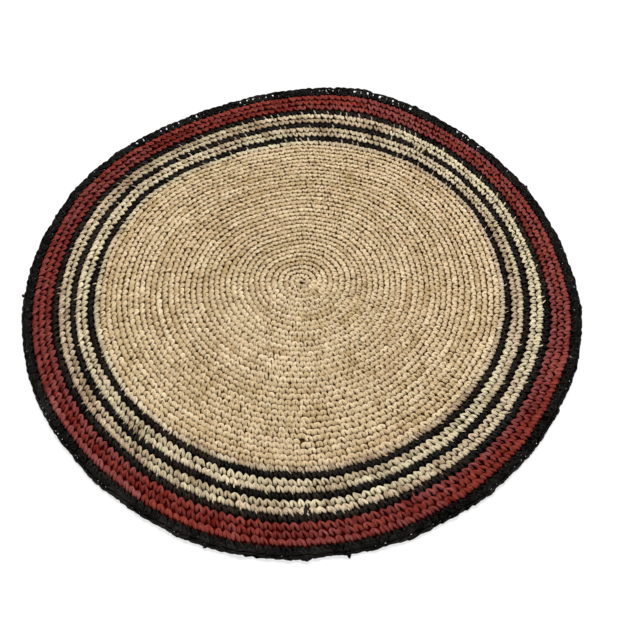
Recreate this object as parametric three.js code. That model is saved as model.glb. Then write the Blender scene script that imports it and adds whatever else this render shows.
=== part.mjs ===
// Round table mat worked as one continuous spiral of single crochet in split
// raffia, flat, with a soft rounded rim. Millimetres, +Z up, origin on the
// underside where the spiral starts.
import * as THREE from 'three';

const MAT_RADIUS = 190;
const THICKNESS = 4;
const RIM_ROUNDING = 1.4;
const RIM_SEGMENTS = 3;
const OUTLINE_STEPS = 180;

// Rows worked tight or slack push the rim in or out. A bulge is centred on a
// bearing, counted in degrees anticlockwise from +X, moves the rim outwards by
// so many millimetres, and dies away over its spread in degrees.
const RIM_BULGES = [
  { bearing: 20, outwards: -2.3, spread: 25 },
  { bearing: 75, outwards: 7.2, spread: 18 },
  { bearing: 110, outwards: -3.8, spread: 22 },
  { bearing: 150, outwards: 2.3, spread: 18 },
  { bearing: 225, outwards: -1.9, spread: 18 },
  { bearing: 260, outwards: 1.9, spread: 18 },
  { bearing: 345, outwards: 1.1, spread: 16 },
];

const raffia = new THREE.MeshStandardMaterial({
  color: 0xc8a878,
  roughness: 0.6,
  metalness: 0,
});

// The shorter way round from one bearing to another, in degrees.
function bearingBetween(from, to) {
  return THREE.MathUtils.euclideanModulo(to - from + 180, 360) - 180;
}

function rimRadius(bearing) {
  let radius = MAT_RADIUS;
  for (const bulge of RIM_BULGES) {
    const away = bearingBetween(bulge.bearing, bearing) / bulge.spread;
    radius += bulge.outwards * Math.exp(-away * away);
  }
  return radius;
}

function rimOutline() {
  const points = [];
  for (let step = 0; step < OUTLINE_STEPS; step += 1) {
    const bearing = (360 * step) / OUTLINE_STEPS;
    const radius = rimRadius(bearing);
    const angle = THREE.MathUtils.degToRad(bearing);
    points.push(new THREE.Vector2(radius * Math.cos(angle), radius * Math.sin(angle)));
  }
  return new THREE.Shape(points);
}

// The crocheted spiral is one flat solid: its rim is rounded above and below,
// and the outermost line of the rounding is the mat's outline.
function crochetedMat() {
  const geometry = new THREE.ExtrudeGeometry(rimOutline(), {
    depth: THICKNESS - 2 * RIM_ROUNDING,
    steps: 1,
    bevelEnabled: true,
    bevelThickness: RIM_ROUNDING,
    bevelSize: RIM_ROUNDING,
    bevelOffset: -RIM_ROUNDING,
    bevelSegments: RIM_SEGMENTS,
  });
  const mesh = new THREE.Mesh(geometry, raffia);
  mesh.name = 'mat';
  mesh.position.z = RIM_ROUNDING;
  return mesh;
}

const group = new THREE.Group();
group.add(crochetedMat());

export default group;
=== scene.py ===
import math
from collections import namedtuple

import bmesh
import bpy
import numpy as np
from mathutils import Matrix, Vector


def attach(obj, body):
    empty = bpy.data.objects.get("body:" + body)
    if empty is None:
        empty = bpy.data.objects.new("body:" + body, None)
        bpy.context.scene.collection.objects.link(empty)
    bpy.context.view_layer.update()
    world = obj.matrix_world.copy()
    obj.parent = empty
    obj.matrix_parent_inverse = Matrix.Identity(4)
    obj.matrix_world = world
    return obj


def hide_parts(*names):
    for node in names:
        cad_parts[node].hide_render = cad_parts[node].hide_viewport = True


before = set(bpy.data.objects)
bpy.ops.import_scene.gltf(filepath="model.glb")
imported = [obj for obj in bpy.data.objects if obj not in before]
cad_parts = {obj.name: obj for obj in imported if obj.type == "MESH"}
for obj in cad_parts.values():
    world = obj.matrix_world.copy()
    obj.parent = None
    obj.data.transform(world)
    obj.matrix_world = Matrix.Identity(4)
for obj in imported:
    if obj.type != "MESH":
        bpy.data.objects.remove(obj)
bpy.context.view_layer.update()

# ---------------------------------------------------------------------------
# The ground. Under the lobes of the stitches lie their inner legs, packed so
# tight that no light comes through. They are one thin sheet, which reaches
# nearly to the rim and is painted in a dark shade of the yarn of each round,
# as painted shade for the hollows between the stitches.
# ---------------------------------------------------------------------------
MM = 0.001
MAT_RADIUS = 190 * MM
FIELD_ROUNDS = 35
FIELD_ROUND = 3.86 * MM

# The border's rounds from the field outwards, in millimetres and degrees: the
# yarn, how wide and how deep a stitch is, the bearing at which the round is
# joined, and how much lower than usual its front lies.
Round = namedtuple("Round", "yarn wide deep join sunk")
BORDER = (
    Round("natural", 4.5, 3.9, 271, 0.0),
    Round("black", 4.6, 4.1, 271, 0.2),
    Round("natural", 4.7, 4.2, 271, 0.0),
    Round("natural", 4.7, 4.2, 268, 0.0),
    Round("black", 4.7, 4.2, 53, 0.0),
    Round("natural", 4.8, 4.2, 271, 0.0),
    Round("natural", 4.9, 4.2, 270, 0.0),
    Round("black", 5.0, 4.6, 262, 0.0),
    Round("red", 5.2, 4.5, 75, 0.0),
    Round("red", 5.2, 4.5, 73, 0.0),
    Round("red", 5.3, 4.5, 75, 0.0),
    Round("black", 5.3, 4.2, 77, 0.1),
    Round("black", 5.4, 3.6, 79, 0.0),
)
FIELD_RADIUS = FIELD_ROUNDS * FIELD_ROUND
BORDER_EDGES = FIELD_RADIUS + MM * np.cumsum([0] + [round_.deep for round_ in BORDER])

# Slack and tight places: the bearing in degrees anticlockwise from +X, how far
# in millimetres the rounds are pushed outwards at the field's edge and at the
# rim, how far the rim is off the table, and the spread in degrees.
Slack = namedtuple("Slack", "bearing field rim lift spread")
SLACK = (
    Slack(20, 0.8, -2.0, 0.3, 25),
    Slack(75, -4.2, 7.2, 1.8, 16),
    Slack(97, -3.0, 1.6, 0.3, 13),
    Slack(116, -6.4, -3.8, 0.6, 21),
    Slack(150, 0.7, 1.2, 0.5, 18),
    Slack(190, 3.5, 0.8, 0.9, 32),
    Slack(225, -0.4, -1.2, 0.0, 18),
    Slack(260, 0.4, 2.2, 0.4, 18),
    Slack(305, -0.4, 1.2, 0.7, 20),
    Slack(345, 1.4, 2.9, 0.2, 16),
)

# Near the middle, where the work was begun, one stitch is fat and stands up, and
# beside it are a hole and a flat brown stitch. Places, lifts and spreads are in
# millimetres, fat is a share of the stitch's size, and brown is added to its tone:
# at the flat stitch it is the yarn's own colour, and at the hole it is painted shade.
Lump = namedtuple("Lump", "x y lift fat brown spread")
LUMPS = (
    Lump(11.1, -4.6, 1.3, 0.7, -0.5, 3.0),
    Lump(8.1, 3.4, -1.3, 0.0, 0.5, 1.8),
    Lump(9.5, -10.3, -0.5, 0.0, 0.9, 2.6),
)


def nearness(lump, x, y):
    away = np.hypot(x - lump.x * MM, y - lump.y * MM)
    return np.exp(-((away / (lump.spread * MM)) ** 2))


def lay(radius, bearing, height):
    """Where a point of an even, level mat ends up once it lies slack and uneven."""
    to_field = np.clip(radius / FIELD_RADIUS, 0, 1)
    to_rim = np.clip((radius - FIELD_RADIUS) / (MAT_RADIUS - FIELD_RADIUS), 0, None)
    pushed, raised = radius, height
    for slack in SLACK:
        away = (np.degrees(bearing) - slack.bearing + 180) % 360 - 180
        share = MM * np.exp(-((away / slack.spread) ** 2))
        pushed = pushed + share * (slack.field * to_field * (1 - to_rim) + slack.rim * to_rim)
        raised = raised + share * slack.lift * to_rim**2
    x, y = pushed * np.cos(bearing), pushed * np.sin(bearing)
    for lump in LUMPS:
        raised = raised + MM * lump.lift * nearness(lump, x, y)
    return np.stack([x, y, np.clip(raised, 0, None)], -1)


class Wire:
    """A shader socket that takes part in Python sums, each of which adds a Math node."""

    def __init__(self, finish, socket):
        self.finish = finish
        self.socket = socket

    def math(self, operation, *values):
        sockets = dict(enumerate(values))
        return self.finish.node("Math", {"operation": operation}, sockets)

    def __add__(self, other):
        return self.math("ADD", self, other)

    def __sub__(self, other):
        return self.math("SUBTRACT", self, other)

    def __mul__(self, other):
        return self.math("MULTIPLY", self, other)

    def __rsub__(self, other):
        return self.math("SUBTRACT", other, self)

    def __abs__(self):
        return self.math("ABSOLUTE", self)

    def within(self, low, high):
        return self.math("MINIMUM", self.math("MAXIMUM", self, low), high)

    def above(self, edge):
        return self.math("GREATER_THAN", self, edge)

    __radd__ = __add__
    __rmul__ = __mul__


class Finish:
    """The nodes of one material, or of the sky, all made by its node method."""

    def __init__(self, holder):
        self.holder = holder
        self.holder.use_nodes = True
        self.tree = self.holder.node_tree
        self.tree.nodes.clear()

    def node(self, kind, settings=(), sockets=(), out=0):
        made = self.tree.nodes.new("ShaderNode" + kind)
        for name, value in dict(settings).items():
            setattr(made, name, value)
        for name, value in dict(sockets).items():
            if isinstance(value, Wire):
                self.tree.links.new(value.socket, made.inputs[name])
            else:
                made.inputs[name].default_value = value
        return Wire(self, made.outputs[out]) if made.outputs else made

    def attribute(self, name):
        return self.node("Attribute", {"attribute_name": name}, out="Fac")

    def mix(self, factor, first, second):
        return self.node("Mix", {"data_type": "RGBA"}, {0: factor, 6: first, 7: second}, 2)

    def shine(self, sockets):
        surface = self.node("BsdfPrincipled", sockets=sockets)
        self.node("OutputMaterial", sockets={"Surface": surface})
        return self.holder


# Painted shade: each round's ground is a much darker colour than its yarn.
GROUND_SHADE_COLOURS = {
    "field": (0.045, 0.020, 0.004, 1),
    "natural": (0.022, 0.009, 0.003, 1),
    "black": (0.002, 0.002, 0.002, 1),
    "red": (0.06, 0.0004, 0.0003, 1),
}


def ground_shade_finish():
    finish = Finish(bpy.data.materials.new("ground"))
    place = finish.attribute("place")
    colour = finish.node("RGB")
    colour.socket.default_value = GROUND_SHADE_COLOURS["field"]
    for edge, round_ in zip(BORDER_EDGES, BORDER):
        colour = finish.mix(place.above(edge / MM), colour, GROUND_SHADE_COLOURS[round_.yarn])
    return finish.shine({"Base Color": colour, "Roughness": 0.9, "Specular IOR Level": 0.0})


GROUND_BOTTOM = 0.9 * MM
GROUND_TOP = 1.4 * MM
# The last round is open work, so the ground ends under the round before it.
OPEN_WORK = 5.5 * MM
GROUND_RADIUS = MAT_RADIUS - OPEN_WORK
GROUND_RINGS = 24
GROUND_SPOKES = 144


def ground_sheet():
    bm = bmesh.new()
    bmesh.ops.create_circle(bm, cap_ends=True, radius=GROUND_RADIUS, segments=GROUND_SPOKES)
    bmesh.ops.poke(bm, faces=bm.faces[:])
    spokes = [edge for edge in bm.edges if not edge.is_boundary]
    bmesh.ops.subdivide_edges(bm, edges=spokes, cuts=GROUND_RINGS - 1, use_grid_fill=True)
    bmesh.ops.solidify(bm, geom=bm.faces[:], thickness=GROUND_TOP - GROUND_BOTTOM)
    bmesh.ops.recalc_face_normals(bm, faces=bm.faces[:])
    mesh = bpy.data.meshes.new("ground")
    bm.to_mesh(mesh)
    bm.free()
    points = np.empty(3 * len(mesh.vertices))
    mesh.vertices.foreach_get("co", points)
    x, y, z = points.reshape(-1, 3).T
    radius = np.hypot(x, y)
    height = np.where(z > z.mean(), GROUND_TOP, GROUND_BOTTOM)
    laid = lay(radius, np.arctan2(y, x), height)
    mesh.vertices.foreach_set("co", laid.ravel())
    place = mesh.attributes.new("place", "FLOAT", "POINT")
    place.data.foreach_set("value", radius / MM)
    mesh.materials.append(ground_shade_finish())
    sheet = bpy.data.objects.new("ground", mesh)
    bpy.context.collection.objects.link(sheet)
    return sheet


ground = ground_sheet()
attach(ground, "root")
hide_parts("mat")

# ---------------------------------------------------------------------------
# The field. Thirty-five rounds of single crochet in natural raffia, in one
# spiral. Each stitch shows two legs that part outwards from a fat lobe, and on
# the back it shows one bar.
# ---------------------------------------------------------------------------
# A strand runs through its stations. u is along the round, anticlockwise, v is
# outwards from the round's middle and z is up from the table; wide and thick
# are half of the strand's width and thickness. Millimetres.
Station = namedtuple("Station", "u v z wide thick")
STITCH_WIDTH = 5.0
STITCH_HEIGHT = 4.0
TIGHT_LEGS = (
    Station(1.20, 2.25, 0.6, 0.50, 0.45),
    Station(1.52, 1.65, 1.45, 1.05, 0.75),
    Station(1.50, 0.95, 2.55, 1.42, 0.95),
    Station(1.40, 0.05, 3.05, 1.60, 1.10),
    Station(1.05, -0.80, 3.00, 1.25, 1.15),
    Station(0.0, -1.25, 2.70, 1.05, 1.05),
    Station(-1.00, -0.80, 2.80, 1.20, 1.10),
    Station(-1.35, 0.05, 2.85, 1.50, 1.05),
    Station(-1.45, 0.95, 2.40, 1.38, 0.90),
    Station(-1.42, 1.65, 1.35, 1.00, 0.70),
    Station(-1.15, 2.25, 0.6, 0.50, 0.45),
)
# In the border the stitches are looser, and their lobes come to more of a point.
LOOSE_LEGS = (
    Station(1.35, 2.30, 0.7, 0.60, 0.45),
    Station(1.60, 1.65, 1.6, 1.00, 0.75),
    Station(1.58, 0.70, 2.75, 1.25, 1.00),
    Station(1.38, -0.35, 3.25, 1.30, 1.15),
    Station(0.70, -1.30, 3.05, 1.00, 1.10),
    Station(0.0, -1.85, 2.70, 0.80, 1.00),
    Station(-0.70, -1.30, 2.85, 0.95, 1.05),
    Station(-1.33, -0.35, 3.00, 1.20, 1.05),
    Station(-1.45, 0.70, 2.55, 1.15, 0.90),
    Station(-1.40, 1.65, 1.5, 0.95, 0.70),
    Station(-1.20, 2.30, 0.7, 0.60, 0.45),
)
# Where a black round comes next the legs stay on top, and end blunt and uneven.
LONG_LEGS = (
    Station(1.65, 2.00, 1.7, 0.40, 0.35),
    Station(1.60, 1.50, 2.6, 0.85, 0.60),
    Station(1.45, 0.60, 3.25, 1.40, 0.95),
    Station(1.28, -0.40, 3.3, 1.45, 1.15),
    Station(0.68, -1.30, 3.05, 1.05, 1.10),
    Station(0.0, -1.85, 2.70, 0.82, 1.00),
    Station(-0.68, -1.30, 2.85, 1.00, 1.05),
    Station(-1.23, -0.40, 3.00, 1.35, 1.05),
    Station(-1.30, 0.50, 2.95, 1.25, 0.85),
    Station(-1.20, 1.30, 2.4, 0.80, 0.55),
    Station(-1.15, 1.80, 1.5, 0.40, 0.35),
)
BACK_BAR = (
    Station(-2.6, -0.3, 0.75, 0.60, 0.55),
    Station(0.0, 0.5, 0.62, 0.90, 0.60),
    Station(2.6, -0.3, 0.75, 0.60, 0.55),
)
# The cross-section of a strand, as shares of its half width and thickness. The
# legs and the chain's upper loops are folded lengthways and have a crease, and the
# other strands are rolled.
FOLDED = (
    (1, -0.35),
    (0.8, 0.6),
    (0.25, 1.0),
    (-0.15, 0.8),
    (-0.75, 0.75),
    (-1, -0.35),
)
ROLLED = ((1, 0), (0, 1), (-1, 0), (0, -1))
# The strands of a stitch: the stations, the cross-section, and the stretch of
# a stitch's own square of the bake map that it takes, from low to high.
Strand = namedtuple("Strand", "stations profile low high")
BAR = Strand(BACK_BAR, ROLLED, 0.75, 0.98)
TIGHT_STITCH = (Strand(TIGHT_LEGS, FOLDED, 0.02, 0.70), BAR)
LOOSE_STITCH = (Strand(LOOSE_LEGS, FOLDED, 0.02, 0.70), BAR)
LONG_STITCH = (Strand(LONG_LEGS, FOLDED, 0.02, 0.70), BAR)


def unit(vector):
    return vector / np.linalg.norm(vector)


def draw_strand(bm, strand, layers):
    """Sweeps a strand's cross-section through its stations, as one closed body."""
    across_layer, along_layer, low_layer, high_layer, sides_layer, back_layer = layers
    stations = np.array(strand.stations)
    on_back = stations[:, 2].max() < GROUND_TOP / MM
    middles = stations[:, :3]
    lengths = np.linalg.norm(np.diff(middles, axis=0), axis=1)
    run = np.concatenate([[0], np.cumsum(lengths)])
    ring = bmesh.ops.create_circle(bm, cap_ends=True, segments=len(strand.profile), radius=1)
    face = ring["verts"][0].link_faces[0]
    for number, (middle, (wide, thick)) in enumerate(zip(middles, stations[:, 3:])):
        if number:
            grown = bmesh.ops.extrude_face_region(bm, geom=[face])["geom"]
            if number > 1:
                bmesh.ops.delete(bm, geom=[face], context="FACES_ONLY")
            face = next(part for part in grown if isinstance(part, bmesh.types.BMFace))
        ahead = middles[min(number + 1, len(middles) - 1)]
        behind = middles[max(number - 1, 0)]
        forward = unit(ahead - behind)
        side = unit(np.cross(forward, (0, 0, 1)))
        above = np.cross(side, forward)
        for step, (vert, (across, up)) in enumerate(zip(face.verts, strand.profile)):
            vert.co = middle + across * wide * side + up * thick * above
            vert[across_layer] = step
            vert[along_layer] = run[number]
            vert[low_layer] = strand.low
            vert[high_layer] = strand.high
            vert[sides_layer] = len(strand.profile)
            vert[back_layer] = on_back


Pattern = namedtuple("Pattern", "points back corners starts strand_map bake_map")
# The longest strand in millimetres, and what share of its square of the bake map
# is left free on either side of it.
LONGEST = 14
MARGIN = 0.03


def stitch_pattern(strands):
    """The points, faces and maps of one stitch, in millimetres."""
    bm = bmesh.new()
    names = ("across", "along", "low", "high", "sides", "back")
    layers = [bm.verts.layers.float.new(name) for name in names]
    for strand in strands:
        draw_strand(bm, strand, layers)
    bmesh.ops.recalc_face_normals(bm, faces=bm.faces[:])
    bm.verts.index_update()
    across, along, low, high, sides_layer, back = layers
    points = np.array([vert.co[:] for vert in bm.verts])
    on_back = np.array([vert[back] > 0.5 for vert in bm.verts])
    corners, starts, strand_map, bake_map = [], [], [], []
    for face in bm.faces:
        starts.append(len(corners))
        sides = face.verts[0][sides_layer]
        steps = [vert[across] for vert in face.verts]
        wraps = len(steps) == 4 and max(steps) - min(steps) == sides - 1
        for vert, step in zip(face.verts, steps):
            if wraps and step == 0:
                step = sides
            corners.append(vert.index)
            strand_map.append((step, vert[along]))
            share = vert[low] + (vert[high] - vert[low]) * step / sides
            bake_map.append((MARGIN + (1 - 2 * MARGIN) * vert[along] / LONGEST, share))
    bm.free()
    maps = (np.array(part) for part in (corners, starts, strand_map, bake_map))
    return Pattern(points, on_back, *maps)


FIELD_START = math.radians(271)
rng = np.random.default_rng(36)
VARIANTS = 12
# How far, as a rule, a strand's stations and its cross-section are pulled about.
STATION_PULLS = Station(0.11, 0.09, 0.09, 0.08, 0.05)
PROFILE_PULLS = (0.08, 0.12)


def loosened(strand):
    """The same strand as another stitch has it, a little pulled about."""
    stations = np.array(strand.stations)
    pulls = rng.normal(0, STATION_PULLS, stations.shape)
    profile = np.array(strand.profile, dtype=float)
    profile += rng.normal(0, PROFILE_PULLS, profile.shape)
    return strand._replace(stations=stations + pulls, profile=profile)


def variants(strands):
    return [stitch_pattern([loosened(strand) for strand in strands]) for _ in range(VARIANTS)]


TIGHT_STITCHES = variants(TIGHT_STITCH)
LOOSE_STITCHES = variants(LOOSE_STITCH)
LONG_STITCHES = variants(LONG_STITCH)


# The yarn is spliced from lengths of so many stitches, each of its own tone, which
# goes from 0 for pale to 1 for brown. A few lengths are short and brown. A tone is
# given as the usual one and its spread.
LENGTH = (5, 26)
TONE = (0.45, 0.16)
BROWN_SHARE = 0.08
BROWN_LENGTH = (3, 8)
BROWN_TONE = (0.85, 0.08)
TONE_SPREAD = 0.13
TINT_SPREAD = 0.12


def yarn(count):
    """The tone and tint of the yarn in each of so many stitches, one after another."""
    tone, tint = [], []
    while len(tone) < count:
        length = rng.integers(*LENGTH)
        own = rng.normal(*TONE)
        if rng.random() < BROWN_SHARE:
            own = rng.normal(*BROWN_TONE)
            length = rng.integers(*BROWN_LENGTH)
        tone += list(own + rng.normal(0, TONE_SPREAD, length))
        tint += list(rng.uniform(0, 1) + rng.normal(0, TINT_SPREAD, length))
    return np.clip([tone[:count], tint[:count]], 0, 1)


# The spiral is worked in lengths of a little more than a turn, in which the
# stitches are evenly spaced but for a small spread. They grow wider from the
# centre outwards. The last turns close up into rings, on which the border is
# worked: they begin to at one turn, and are whole rings by another.
LENGTHS = 31
FEWEST_STITCHES = 6
SPACING_SPREAD = 0.05
CENTRE_WIDTH = 3.5 * MM
EDGE_WIDTH = 4.6 * MM
RINGS_START = 24
RINGS_WHOLE = 34


def spiral_stitches():
    """The stitches of the spiral, one after another from the centre."""
    turns, widths = [], []
    ends = np.linspace(0, FIELD_ROUNDS, LENGTHS + 1)
    for number, (start, end) in enumerate(zip(ends, ends[1:])):
        width = CENTRE_WIDTH + (EDGE_WIDTH - CENTRE_WIDTH) * number / LENGTHS
        around = math.pi * FIELD_ROUND * (end**2 - start**2)
        count = round(max(around, FEWEST_STITCHES * width) / width)
        share = (np.arange(count) + 0.5 + rng.normal(0, SPACING_SPREAD, count)) / count
        turns.append(np.sqrt(start**2 + share * (end**2 - start**2)))
        widths.append(np.full(count, around / count))
    turn = np.concatenate(turns)
    closed = np.clip((np.floor(turn) - RINGS_START) / (RINGS_WHOLE - RINGS_START), 0, 1)
    radius = FIELD_ROUND * (turn + closed * (0.5 - turn % 1))
    deep = np.full(len(turn), FIELD_ROUND)
    bearing = FIELD_START + math.tau * turn
    tone, tint = yarn(len(turn))
    wide = np.concatenate(widths)
    for lump in LUMPS:
        near = nearness(lump, radius * np.cos(bearing), radius * np.sin(bearing))
        tone = tone + lump.brown * near
        wide = wide * (1 + lump.fat * near)
        deep = deep * (1 + lump.fat * near)
    return Stitches(bearing, radius, wide, deep, tone, tint)


# Unevenness, as sums of waves that run across the mat in every direction: fine
# ones, so that no two strands are alike, and slow ones that sway whole rounds.
Waves = namedtuple("Waves", "along pushes starts")


def waves(count, length, push):
    along = rng.normal(0, math.tau / length, (count, 3))
    pushes = rng.normal(0, push / math.sqrt(count), (count, 3))
    return Waves(along, pushes, rng.uniform(0, math.tau, count))


UNEVEN = (waves(12, 7 * MM, 0.12 * MM), waves(12, 45 * MM, 0.35 * MM))
# The rim has its own as well, which grows over the last share of the radius.
RIM_UNEVEN = waves(12, 16 * MM, 0.45 * MM)
RIM_SHARE = 0.05


def waver(points):
    """How far the unevenness moves each point, which at the rim is further."""
    moved = np.zeros_like(points)
    for along, pushes, starts in UNEVEN:
        moved += np.sin(points @ along.T + starts) @ pushes
    out = np.hypot(points[..., :1], points[..., 1:2]) / MAT_RADIUS
    to_rim = np.clip((out - (1 - RIM_SHARE)) / RIM_SHARE, 0, 1)
    along, pushes, starts = RIM_UNEVEN
    return moved + to_rim * (np.sin(points @ along.T + starts) @ pushes)


# A piece's stitches, as arrays: the bearing and radius of each one's middle,
# its width and depth, and the tone and tint of its yarn, as a rule from 0 to 1.
Stitches = namedtuple("Stitches", "bearing radius wide deep tone tint")


def pick(stitches, which):
    return Stitches(*(values[which] for values in stitches))


# The front of every stitch leans, its outer end lying further anticlockwise, and
# in the border it leans more.
FIELD_LEAN = 0.28
BORDER_LEAN = 0.42
# How far, as a rule, a stitch differs from its neighbours: in how it leans, its
# width, its place along the round, its depth, its place outwards and its height.
Loose = namedtuple("Loose", "lean wide along deep outwards height")
LOOSE = Loose(0.08, 0.06, 0.14, 0.04, 0.06, 0.11)
# The fibres of each stitch are taken from anywhere in so wide a stretch of them.
FIBRE_RANGE = 90
# Nothing goes below this height in millimetres, so the mat rests on the table.
LOWEST = 0.03


def crochet(name, patterns, stitches, finish, slot, lean, loose=1.0, sunk=0.0, each=False):
    """One piece of many stitches, in patterns taken at random or each in its own."""
    bearing, radius, wide, deep, tone, tint = (part[:, None] for part in stitches)
    count = len(bearing)
    chosen = np.arange(count) if each else rng.integers(0, len(patterns), count)
    points = np.stack([pattern.points for pattern in patterns])[chosen]
    u, v, z = points[..., 0], points[..., 1], points[..., 2]
    front = z > GROUND_TOP / MM
    pulls = rng.normal(0, loose, (len(LOOSE), count, 1))
    own = Loose(*(most * pull for most, pull in zip(LOOSE, pulls)))
    lean = lean * front + own.lean
    u = u * (1 + own.wide) + lean * v + own.along
    v = v * (1 + own.deep) + own.outwards
    z = z + (own.height - sunk) * front
    turned = bearing + u / STITCH_WIDTH * wide / radius
    out = radius + v / STITCH_HEIGHT * deep
    laid = lay(out, turned, np.clip(z, LOWEST, None) * MM)
    laid = laid + waver(laid) * front[..., None]

    pattern = patterns[0]
    mesh = bpy.data.meshes.new(name)
    per_stitch = len(pattern.points)
    corners = pattern.corners + per_stitch * np.arange(count)[:, None]
    starts = pattern.starts + len(pattern.corners) * np.arange(count)[:, None]
    mesh.vertices.add(laid[..., 0].size)
    mesh.vertices.foreach_set("co", laid.ravel())
    mesh.loops.add(corners.size)
    mesh.loops.foreach_set("vertex_index", corners.ravel())
    mesh.polygons.add(starts.size)
    mesh.polygons.foreach_set("loop_start", starts.ravel())
    mesh.update(calc_edges=True)
    mesh.shade_smooth()

    strand_map = np.tile(pattern.strand_map, (count, 1, 1))
    strand_map += rng.uniform(0, FIBRE_RANGE, (count, 1, 2))
    layer = mesh.uv_layers.new(name="Strand")
    layer.uv.foreach_set("vector", strand_map.ravel())
    side = math.ceil(math.sqrt(count))
    square = np.stack(np.divmod(np.arange(count), side), -1)[:, None]
    bake_map = (square + pattern.bake_map) / side
    layer = mesh.uv_layers.new(name="OFBake")
    layer.uv.foreach_set("vector", bake_map.ravel())
    mesh.uv_layers["Strand"].active = True
    mesh.uv_layers["Strand"].active_render = True
    # On the back every strand shows, and none of them dives, so none takes the painted shade.
    depth = np.where(pattern.back, STITCH_HEIGHT, z)
    yarns = {
        "tone": np.repeat(tone, per_stitch),
        "tint": np.repeat(tint, per_stitch),
        "depth": depth.ravel(),
    }
    for label, values in yarns.items():
        mesh.attributes.new(label, "FLOAT", "POINT").data.foreach_set("value", values)

    mesh.materials.append(finish)
    piece = bpy.data.objects.new(name, mesh)
    bpy.context.collection.objects.link(piece)
    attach(piece, "root")
    return piece


# The colours of a yarn, as linear values: its paler hue, the other hue that
# some lengths have, its brown fibres, and the painted shade where it dives out of sight.
DyeAndShade = namedtuple("DyeAndShade", "pale other brown sunk")
# How painted shade darkens the yarn: below which height in millimetres, and how fast.
DepthShade = namedtuple("DepthShade", "below depth")
# How fine the fibres and the folds are, across a strand and along it, and how
# many patches of a browner shade there are to the metre.
FIBRES = (1.6, 0.22, 1)
FOLDS = (0.75, 0.06, 1)
PATCHES = 38.0
# How much browner the yarn goes with its tone, its patches and its fibres.
TONE_BROWN = 0.75
PATCH_BROWN = 0.9
FIBRE_BROWN = 2.2
# How narrow a crease is, how much painted shade darkens the yarn along it, and
# how deep it is next to the fibres.
CREASE_NARROW = 20
CREASE_SHADE = 0.35
CREASE_DEEP = 0.5
# How much rougher the yarn is where its fibres stand up.
FIBRE_ROUGH = 0.25


def raffia(name, dye_and_shade, depth_shade, gloss=0.5, rough=0.38):
    """Split raffia, with fibres along the strand, and painted shade that darkens it as it
    dives under.
    """
    pale, other, brown, sunk = ((*colour, 1) for colour in dye_and_shade)
    finish = Finish(bpy.data.materials.new(name))
    tone = finish.attribute("tone")
    tint = finish.attribute("tint")
    depth = finish.attribute("depth")
    strand = finish.node("UVMap", {"uv_map": "Strand"})
    stretched = finish.node("Mapping", {}, {"Vector": strand, "Scale": FIBRES})
    fine = {"Vector": stretched, "Scale": 1.0, "Detail": 3.0, "Roughness": 0.55}
    fibres = finish.node("TexNoise", {}, fine)
    folded = finish.node("Mapping", {}, {"Vector": strand, "Scale": FOLDS})
    coarse = {"Vector": folded, "Scale": 1.0, "Detail": 1.0, "Roughness": 0.4}
    folds = finish.node("TexNoise", {}, coarse)
    # A crease dents the strand through the bump and is darkened with painted shade.
    crease = (1 - abs(folds - 0.5) * CREASE_NARROW).within(0, 1)
    where = finish.node("TexCoord", out="Object")
    patches = finish.node("TexNoise", {}, {"Vector": where, "Scale": PATCHES, "Detail": 2.0})
    share = tone * TONE_BROWN + (patches - 0.5) * PATCH_BROWN + (fibres - 0.5) * FIBRE_BROWN
    colour = finish.mix(share.within(0, 1), finish.mix(tint, pale, other), brown)
    # Painted shade: where a strand lies low, and along its creases, its colour goes towards
    # the sunk colour.
    depth_shaded = ((depth_shade.below - depth) * depth_shade.depth).within(0, 1)
    colour = finish.mix((depth_shaded + crease * CREASE_SHADE).within(0, 1), colour, sunk)
    height = fibres - crease * CREASE_DEEP
    bump = finish.node("Bump", {}, {"Strength": 0.8, "Distance": 0.0006, "Height": height})
    return finish.shine({
        "Base Color": colour,
        "Roughness": fibres * FIBRE_ROUGH + rough,
        "Normal": bump,
        "Specular IOR Level": gloss,
    })


NATURAL_DYE_AND_SHADE = DyeAndShade(
    pale=(0.865, 0.718, 0.480),
    other=(0.825, 0.640, 0.428),
    brown=(0.520, 0.368, 0.176),
    sunk=(0.370, 0.160, 0.006),
)
NATURAL = raffia("natural raffia", NATURAL_DYE_AND_SHADE, DepthShade(2.70, 0.90), gloss=0.04)

FIELD_PIECES = 5
spiral = spiral_stitches()
parts = np.array_split(np.arange(len(spiral.bearing)), FIELD_PIECES)
for number, part in enumerate(parts):
    crochet(
        f"field_{number + 1}",
        TIGHT_STITCHES,
        pick(spiral, part),
        NATURAL,
        "raffia_natural",
        FIELD_LEAN,
    )

# ---------------------------------------------------------------------------
# The border's yarns. Its rounds are worked in paler natural raffia, in black and
# in red, and the last two and the edge in a duller black. Some lengths of yarn
# stand out by their colour.
# ---------------------------------------------------------------------------
PALE_DYE_AND_SHADE = DyeAndShade(
    pale=(0.845, 0.755, 0.500),
    other=(0.81, 0.640, 0.448),
    brown=(0.27, 0.163, 0.080),
    sunk=(0.032, 0.013, 0.003),
)
BLACK_DYE_AND_SHADE = DyeAndShade(
    pale=(0.036, 0.0245, 0.0175),
    other=(0.0190, 0.0175, 0.0155),
    brown=(0.0010, 0.0007, 0.0006),
    sunk=(0.0001, 0.0001, 0.0001),
)
RIM_DYE_AND_SHADE = DyeAndShade(
    pale=(0.045, 0.0365, 0.0300),
    other=(0.0245, 0.0233, 0.0205),
    brown=(0.0004, 0.0004, 0.0003),
    sunk=(0.0001, 0.0001, 0.0001),
)
RED_DYE_AND_SHADE = DyeAndShade(
    pale=(0.315, 0.092, 0.082),
    other=(0.30, 0.053, 0.035),
    brown=(0.130, 0.0042, 0.0022),
    sunk=(0.065, 0.0002, 0.0001),
)
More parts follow.
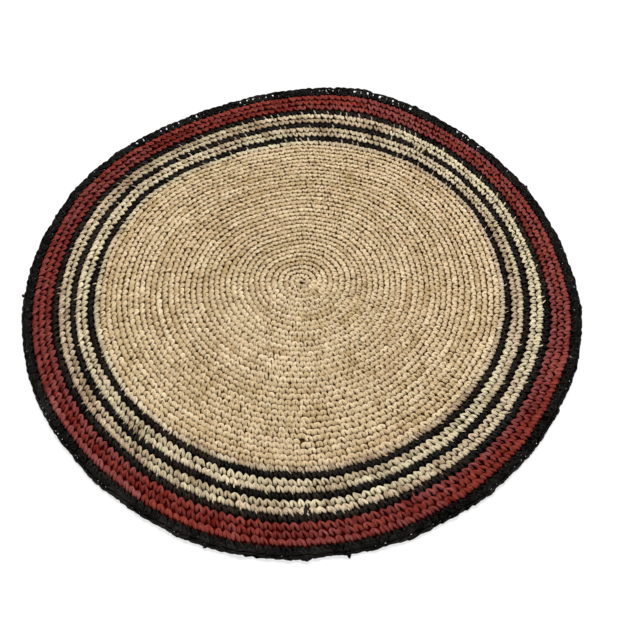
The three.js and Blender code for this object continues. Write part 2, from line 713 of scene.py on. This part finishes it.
YARNS = {
    "natural": raffia("pale raffia", PALE_DYE_AND_SHADE, DepthShade(3.28, 0.76), gloss=0.2),
    "black": raffia("black raffia", BLACK_DYE_AND_SHADE, DepthShade(3.3, 0.95), gloss=0.07, rough=0.14),
    "red": raffia("red raffia", RED_DYE_AND_SHADE, DepthShade(3.35, 0.80), gloss=0.07, rough=0.22),
}
RIM_YARN = raffia("rim raffia", RIM_DYE_AND_SHADE, DepthShade(3.3, 0.95), gloss=0.035, rough=0.04)

# The round that a length of yarn is in, the bearings between which it runs, and
# its tone and tint.
Length = namedtuple("Length", "round start end tone tint")
LENGTHS_SEEN = (
    Length(3, 340, 30, 0.60, 1.0),
    Length(3, 30, 62, 0.20, 0.5),
    Length(3, 118, 172, 0.15, 0.4),
    Length(3, 172, 200, 0.30, 0.0),
    Length(3, 238, 272, 0.20, 0.3),
    Length(4, 30, 62, 0.25, 0.6),
    Length(4, 118, 200, 0.20, 0.5),
    Length(4, 238, 272, 0.20, 0.6),
    Length(6, 330, 62, 0.15, 0.2),
    Length(7, 330, 62, 0.15, 0.3),
    Length(6, 66, 115, 0.75, 1.0),
    Length(6, 186, 222, 0.75, 0.9),
    Length(6, 268, 300, 0.25, 0.1),
    Length(7, 186, 236, 0.60, 1.0),
    Length(9, 188, 236, 0.55, 0.1),
    Length(9, 336, 360, 0.35, 0.0),
    Length(10, 330, 30, 0.15, 0.4),
    Length(11, 330, 30, 0.15, 0.6),
    Length(10, 180, 210, 0.20, 0.6),
    Length(10, 300, 322, 0.25, 1.0),
    Length(11, 238, 256, 0.20, 1.0),
    Length(11, 298, 335, 0.30, 1.0),
    Length(12, 0, 359, 0.85, 0.7),
    Length(13, 0, 359, 0.90, 0.7),
)
SEEN_TONE_SPREAD = 0.15
SEEN_TINT_SPREAD = 0.1


def spliced(number, stitches):
    """The same stitches, with the lengths of yarn that stand out."""
    tone, tint = stitches.tone.copy(), stitches.tint.copy()
    for length in LENGTHS_SEEN:
        past = (np.degrees(stitches.bearing) - length.start) % 360
        own = (past < (length.end - length.start) % 360) & (length.round == number)
        tone[own] = length.tone + rng.normal(0, SEEN_TONE_SPREAD, own.sum())
        tint[own] = length.tint + rng.normal(0, SEEN_TINT_SPREAD, own.sum())
    return stitches._replace(tone=np.clip(tone, 0, 1), tint=np.clip(tint, 0, 1))


# ---------------------------------------------------------------------------
# The slivers. Where a black round is worked on natural yarn, slivers of the
# loops below lie over some of its lobes, most of them on the near side.
# ---------------------------------------------------------------------------
SLIVER = (
    Strand((
        Station(0.9, 1.0, 3.4, 0.80, 0.50),
        Station(1.1, 2.1, 4.4, 0.52, 0.35),
        Station(1.3, 3.2, 4.7, 0.26, 0.20),
    ), ROLLED, 0.02, 0.95),
)
SLIVERS = variants(SLIVER)
SLIVERS_LOOSE = 2.0
# What share of the loops show a sliver on the near side, where a red round comes
# next and elsewhere. At the sides so much of that share is left, and towards the
# near and the far side it grows by so much more.
SHOWN_BEFORE_RED = 0.65
SHOWN = 0.5
SIDES = 0.25
NEAR_MORE = 0.75
FAR_MORE = 0.5


def lay_slivers(number, below, after):
    """The slivers of the stitches below over one black round, before another yarn."""
    sine = np.sin(below.bearing)
    facing = SIDES + np.where(sine < 0, NEAR_MORE, FAR_MORE) * sine**2
    share = SHOWN_BEFORE_RED if after == "red" else SHOWN
    shown = rng.random(len(below.bearing)) < facing * share
    return crochet(
        f"slivers_{number + 1:02d}",
        SLIVERS,
        pick(below, shown),
        YARNS["natural"],
        "raffia_natural",
        BORDER_LEAN,
        SLIVERS_LOOSE,
    )


# ---------------------------------------------------------------------------
# The rim's chain. The top loops of the last round lie as a chain along the rim.
# Here and there the last round is pulled open, and over an open stitch the chain
# is slighter and lets light through.
# ---------------------------------------------------------------------------
CHAIN_STITCH = (
    Strand((
        Station(-3.7, 0.95, 2.4, 0.35, 0.35),
        Station(-1.8, 1.15, 2.9, 0.75, 0.65),
        Station(0.2, 1.15, 3.1, 0.82, 0.70),
        Station(2.2, 0.95, 3.0, 0.72, 0.55),
        Station(3.7, 0.60, 2.6, 0.40, 0.30),
    ), FOLDED, 0.02, 0.32),
    Strand((
        Station(-3.4, -0.3, 2.8, 0.25, 0.25),
        Station(-1.6, -0.35, 3.4, 0.70, 0.60),
        Station(0.6, -0.8, 3.5, 0.75, 0.60),
        Station(2.2, -1.6, 3.3, 0.60, 0.45),
        Station(3.2, -2.4, 2.8, 0.20, 0.20),
    ), FOLDED, 0.35, 0.65),
    Strand((
        Station(-3.6, 1.0, 1.5, 0.40, 0.40),
        Station(-1.6, 1.15, 1.5, 0.75, 0.65),
        Station(0.6, 1.15, 1.4, 0.75, 0.65),
        Station(3.6, 1.0, 1.5, 0.40, 0.40),
    ), ROLLED, 0.68, 0.98),
)
CHAIN_STITCHES = variants(CHAIN_STITCH)
OPEN_STITCHES = variants((
    CHAIN_STITCH[0],
    Strand((
        Station(-2.0, -0.35, 2.9, 0.25, 0.25),
        Station(-1.0, -0.40, 3.4, 0.70, 0.60),
        Station(0.3, -0.80, 3.5, 0.75, 0.60),
        Station(1.3, -1.60, 3.3, 0.60, 0.45),
        Station(2.0, -2.30, 2.8, 0.20, 0.20),
    ), FOLDED, 0.35, 0.65),
))
CHAIN_IN = 2.9 * MM
# What share of the last round's stitches are open, most of them between two
# bearings, and how narrow those are.
OPEN_FROM = 33
OPEN_TO = 133
OPEN_MOST = 0.7
OPEN_ELSEWHERE = 0.04
OPEN_NARROW = 0.72


def pulled_open(stitches):
    """Which of the stitches are open."""
    past = (np.degrees(stitches.bearing) - OPEN_FROM) % 360
    share = np.where(past < OPEN_TO - OPEN_FROM, OPEN_MOST, OPEN_ELSEWHERE)
    return rng.random(len(share)) < share


def lay_chain(stitches, opened):
    """The chain along the top of the last round's stitches, in two pieces."""
    count = len(stitches.bearing)
    rim = stitches._replace(
        radius=np.full(count, MAT_RADIUS - CHAIN_IN),
        wide=np.full(count, math.tau / count * MAT_RADIUS),
        deep=np.full(count, STITCH_HEIGHT * MM),
    )
    whole = pick(rim, ~opened)
    slight = pick(rim, opened)
    return [
        crochet("rim_chain", CHAIN_STITCHES, whole, RIM_YARN, "raffia_black", 0.0),
        crochet("rim_chain_open", OPEN_STITCHES, slight, RIM_YARN, "raffia_black", 0.0),
    ]


# ---------------------------------------------------------------------------
# The border's rounds, worked one after another onto the field. Each is a closed
# ring of stitches in its own yarn, and the last one is drawn in under the chain.
# ---------------------------------------------------------------------------
LAST_DRAWN_IN = 2.3
RIM_ROUNDS = 2


def ring(radius, wide, deep, join):
    """A closed round of stitches, from the bearing at which it is joined."""
    count = round(math.tau * radius / wide)
    step = math.tau / count
    bearing = join + step * (np.arange(count) + 0.5)
    bearing = bearing + rng.normal(0, SPACING_SPREAD * step, count)
    alike = (np.full(count, size) for size in (radius, step * radius, deep))
    return Stitches(bearing, *alike, *yarn(count))


border = []
below, below_yarn = None, "natural"
for number, (round_, inner) in enumerate(zip(BORDER, BORDER_EDGES)):
    to_come = len(BORDER) - number - 1
    at_rim = to_come == 0
    after = round_.yarn if at_rim else BORDER[number + 1].yarn
    middle = inner + (round_.deep / 2 - LAST_DRAWN_IN * at_rim) * MM
    stitches = ring(middle, round_.wide * MM, round_.deep * MM, math.radians(round_.join))
    stitches = spliced(number + 1, stitches)
    patterns = LOOSE_STITCHES
    if at_rim:
        patterns = TIGHT_STITCHES
        opened = pulled_open(stitches)
        stitches.wide[opened] *= OPEN_NARROW
    elif after == "black" and round_.yarn != "black":
        patterns = LONG_STITCHES
    border.append(crochet(
        f"border_{number + 1:02d}",
        patterns,
        stitches,
        RIM_YARN if to_come < RIM_ROUNDS else YARNS[round_.yarn],
        "raffia_" + round_.yarn,
        BORDER_LEAN,
        sunk=round_.sunk,
    ))
    if round_.yarn == "black" and below_yarn == "natural":
        border.append(lay_slivers(number, below, after))
    below, below_yarn = stitches, round_.yarn
border += lay_chain(below, opened)

# ---------------------------------------------------------------------------
# Loose ends. Where rounds are joined and yarn is spliced, short ends of raffia
# lie over the stitches, and along the rim a few of them stick out.
# ---------------------------------------------------------------------------
# An end starts at a bearing and a radius and heads off at so many degrees
# clockwise from straight outwards. Low and high are its height where it starts and
# at its tip. Lengths are in millimetres.
End = namedtuple("End", "yarn bearing radius heading length wide low high")
ENDS = (
    End("black", 271.2, 158.5, 2, 8.5, 1.1, 3.8, 4.3),
    End("black", 271.9, 161.5, -6, 6.0, 0.9, 4.1, 4.3),
    End("black", 24.2, 187.0, -74, 9.0, 1.7, 2.6, 3.0),
    End("black", 29.2, 187.0, 74, 9.0, 1.7, 2.4, 2.8),
    End("black", 26.0, 187.3, -35, 4.5, 1.5, 3.4, 3.0),
    End("black", 269.9, 187.8, -72, 6.0, 1.7, 2.0, 2.4),
    End("black", 272.3, 187.8, 72, 6.0, 1.7, 2.4, 1.8),
    End("black", 271.1, 187.5, 0, 3.0, 2.3, 3.0, 1.6),
    End("black", 278.0, 187.5, -20, 4.0, 1.2, 2.4, 1.4),
    End("black", 254.3, 187.5, 45, 4.0, 1.1, 3.0, 2.2),
    End("black", 183.6, 187.6, 30, 3.4, 1.5, 3.2, 3.2),
    End("natural", 52.6, 149.8, 8, 8.0, 1.2, 3.7, 3.9),
    End("natural", 53.9, 150.0, -4, 8.5, 1.4, 3.7, 3.9),
    End("natural", 54.9, 150.8, -9, 7.0, 1.1, 3.6, 3.7),
    End("natural", 340.2, 182.5, 20, 2.0, 0.3, 4.2, 4.2),
    End("red", 293.2, 170.5, 176, 4.5, 0.6, 4.1, 4.1),
    End("red", 262.2, 170.0, 150, 3.5, 0.7, 4.1, 4.1),
)


# How far along an end its stations are, and what share of its width it has there.
TAPER = ((0, 0.5), (0.3, 1.0), (0.65, 0.9), (1, 0.25))
# How far in millimetres an end bends sideways, as a rule, and how thick it is for
# its width.
END_BEND = 0.5
END_FLAT = 0.6


def end_stations(end):
    """An end bends a little sideways and grows thinner towards its tip."""
    heading = math.radians(end.heading)
    bend = rng.normal(0, END_BEND)
    stations = []
    for share, taper in TAPER:
        ahead = share * end.length
        aside = bend * share**2
        u = -math.sin(heading) * ahead + math.cos(heading) * aside
        v = math.cos(heading) * ahead + math.sin(heading) * aside
        z = end.low + (end.high - end.low) * share
        stations.append(Station(u, v, z, end.wide * taper, END_FLAT * end.wide * taper))
    return stations


for yarn_name, finish in YARNS.items():
    ends = [end for end in ENDS if end.yarn == yarn_name]
    strands = [Strand(end_stations(end), ROLLED, 0.02, 0.95) for end in ends]
    places = Stitches(
        np.radians([end.bearing for end in ends]),
        MM * np.array([end.radius for end in ends]),
        np.full(len(ends), STITCH_WIDTH * MM),
        np.full(len(ends), STITCH_HEIGHT * MM),
        *yarn(len(ends)),
    )
    crochet(
        "ends_" + yarn_name,
        [stitch_pattern([strand]) for strand in strands],
        places,
        finish,
        "raffia_" + yarn_name,
        0.0,
        loose=0.0,
        each=True,
    )

# ---------------------------------------------------------------------------
# The floor, the light and the camera. The mat lies on a plain white floor under
# one broad lamp a little behind it and a soft white sky. The camera looks down
# on it from the near side.
# ---------------------------------------------------------------------------
WHITE = (1, 1, 1, 1)
FLOOR_COLOUR = (0.95, 0.95, 0.95, 1)
FLOOR_SIZE = 8
# To the camera the floor is white but for so much of the shadow on it.
SHADOW_KEPT = 0.25
bpy.ops.mesh.primitive_plane_add(size=FLOOR_SIZE)
floor = bpy.context.object
floor.name = "floor"
paper = Finish(bpy.data.materials.new("floor"))
lit = paper.node("BsdfPrincipled", {}, {"Base Color": FLOOR_COLOUR, "Roughness": 0.9})
white = paper.node("Emission", {}, {"Color": WHITE, "Strength": 1.0})
seen = paper.node("LightPath", out="Is Camera Ray")
surface = paper.node("MixShader", {}, {0: seen * (1 - SHADOW_KEPT), 1: lit, 2: white})
paper.node("OutputMaterial", {}, {"Surface": surface})
floor.data.materials.append(paper.holder)

SKY_STRENGTH = 0.24
sky = Finish(bpy.data.worlds.new("sky"))
soft = sky.node("Background", {}, {"Color": WHITE, "Strength": SKY_STRENGTH})
white = sky.node("Background", {}, {"Color": WHITE, "Strength": 1.0})
seen = sky.node("LightPath", out="Is Camera Ray")
surface = sky.node("MixShader", {}, {0: seen, 1: soft, 2: white})
sky.node("OutputWorld", {}, {"Surface": surface})
bpy.context.scene.world = sky.holder

LAMP_PLACE = Vector((0.3, 1.2, 3.8))
LAMP_SIZE = 1.4
LAMP_POWER = 180
lamp = bpy.data.lights.new("key", "AREA")
lamp.shape = "DISK"
lamp.size = LAMP_SIZE
lamp.energy = LAMP_POWER
holder = bpy.data.objects.new("key", lamp)
holder.location = LAMP_PLACE
holder.rotation_euler = (-LAMP_PLACE).to_track_quat("-Z", "Y").to_euler()
bpy.context.collection.objects.link(holder)

LENS = 44.26
CAMERA_DISTANCE = 2.778 * MAT_RADIUS
CAMERA_RISE = math.radians(57.82)
CAMERA_ROLL = math.radians(-0.608)
LOOK_AT = Vector((0.0671 * MAT_RADIUS, -0.1669 * MAT_RADIUS, 3 * MM))
camera = bpy.data.objects.new("camera", bpy.data.cameras.new("camera"))
bpy.context.collection.objects.link(camera)
camera.data.lens = LENS
camera.data.clip_start = 10 * MM
back = Vector((0, -math.cos(CAMERA_RISE), math.sin(CAMERA_RISE)))
tilt = Matrix.Rotation(math.pi / 2 - CAMERA_RISE, 4, "X")
roll = Matrix.Rotation(CAMERA_ROLL, 4, "Z")
camera.matrix_world = Matrix.Translation(LOOK_AT + CAMERA_DISTANCE * back) @ tilt @ roll
bpy.context.scene.camera = camera
bpy.context.scene.view_settings.view_transform = "Standard"
